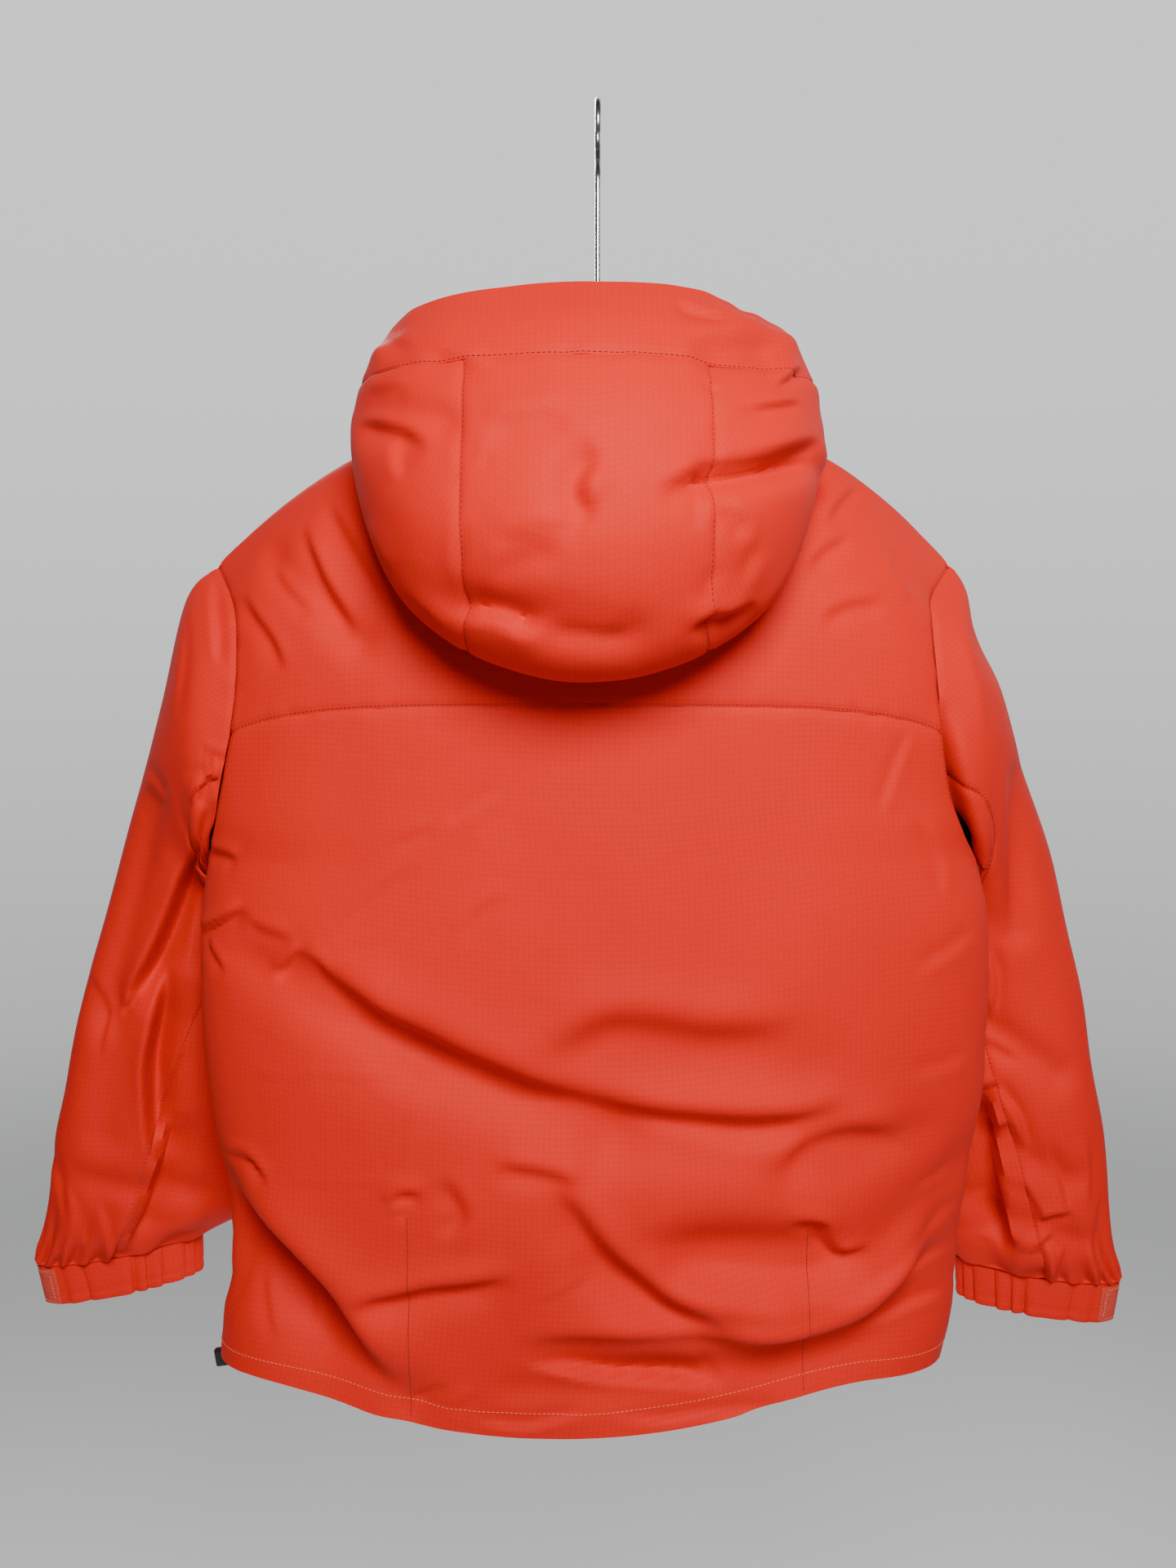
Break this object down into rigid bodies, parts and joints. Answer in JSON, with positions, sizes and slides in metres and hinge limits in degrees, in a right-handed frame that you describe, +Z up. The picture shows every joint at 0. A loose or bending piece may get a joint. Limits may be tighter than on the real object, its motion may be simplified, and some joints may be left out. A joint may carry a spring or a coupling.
{
  "type": "down jacket",
  "caption": "Hooded down jacket with a padded plain shell, curved back yoke, gathered cuffs and front zip, hanging on a wire hanger.",
  "frame": {"origin": "inner top of the hanger's hook, where it sits on a rail", "axes": "+Z up; the jacket's back faces -Y and its front +Y; +X runs to the right as seen from the back"},
  "size_m": [0.9119, 0.3304, 0.981],
  "materials": {
    "shell_cloth": "matte fine woven",
    "loop_patch": "looped pile",
    "zip_tape": "woven tape",
    "zip_metal": "satin",
    "black_plastic": "gloss",
    "hanger_wire": "polished"
  },
  "bodies": {
    "jacket": {"back_yoke": "shell_cloth", "back_panel": "shell_cloth", "front_left": "shell_cloth", "front_right": "shell_cloth", "sleeve_upper_left": "shell_cloth", "sleeve_upper_right": "shell_cloth", "sleeve_under_left": "shell_cloth", "sleeve_under_right": "shell_cloth", "cuff_left": "shell_cloth", "cuff_right": "shell_cloth", "cuff_patch_left": "loop_patch", "cuff_patch_right": "loop_patch", "hood_centre": "shell_cloth", "hood_side_left": "shell_cloth", "hood_side_right": "shell_cloth", "hood_brim": "shell_cloth", "zip_tape_left": "zip_tape", "zip_tape_right": "zip_tape", "zip_slider": "zip_metal", "cord_lock": "black_plastic", "hanger": "hanger_wire"},
    "zip_pull": {"zip_pull_tab": "zip_metal"}
  },
  "joints": [
    {"name": "pull_tab_swing", "type": "hinge", "parent": "jacket", "child": "zip_pull", "pos_m": [0, 0.11339, -0.22832], "axis": [1, 0, 0], "range_deg": [0, 150]}
  ]
}
